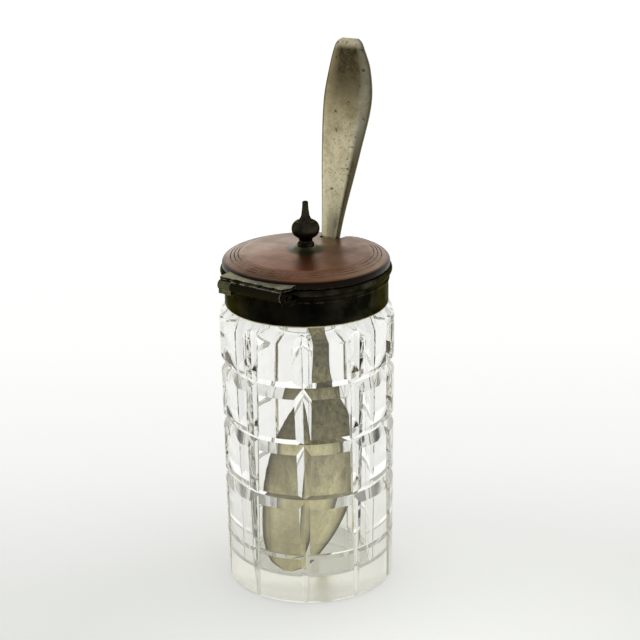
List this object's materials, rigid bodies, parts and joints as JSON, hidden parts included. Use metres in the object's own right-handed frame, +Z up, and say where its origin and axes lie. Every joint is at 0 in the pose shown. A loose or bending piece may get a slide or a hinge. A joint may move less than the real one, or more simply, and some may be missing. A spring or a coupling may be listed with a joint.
{
  "type": "condiment jar",
  "caption": "Tall cut-glass table jar with a dark metal collar, a hinged domed lid with turned finial and spoon notch, and a long-handled spoon standing in it.",
  "frame": {"origin": "centre of the flat base that the jar stands on", "axes": "+Z up along the jar's axis, -Y towards the hinge, +X along the hinge pin"},
  "size_m": [0.0504, 0.0618, 0.1547],
  "materials": {
    "glass": "clear, hand cut and polished",
    "cement": "matt",
    "collar_metal": "blackened, worn",
    "hinge_metal": "dark patina, rubbed edges",
    "pin_metal": "dull",
    "leaf_metal": "grey-green patina",
    "lid_metal": "copper-brown patina",
    "finial_metal": "near-black patina",
    "silver_plate": "tarnished silver plate"
  },
  "bodies": {
    "jar": {"glass_jar": "glass", "neck_cement": "cement", "collar_band": "collar_metal", "collar_bead": "collar_metal", "collar_wire": "collar_metal", "hinge_knuckle_left": "hinge_metal", "hinge_knuckle_right": "hinge_metal", "hinge_pin": "pin_metal"},
    "lid": {"lid_cover": "lid_metal", "lid_leaf": "leaf_metal", "finial_knob": "finial_metal", "finial_washer": "pin_metal", "finial_nut": "pin_metal"},
    "spoon": {"spoon": "silver_plate"}
  },
  "joints": [
    {"name": "lid_hinge", "type": "hinge", "parent": "jar", "child": "lid", "pos_m": [0, -0.0258, 0.09515], "axis": [1, 0, 0], "range_deg": [0, 110]},
    {"name": "spoon_lift", "type": "slide", "parent": "jar", "child": "spoon", "axis": [-0.035, 0.2241, 0.9739], "range_m": [0, 0.03]}
  ]
}
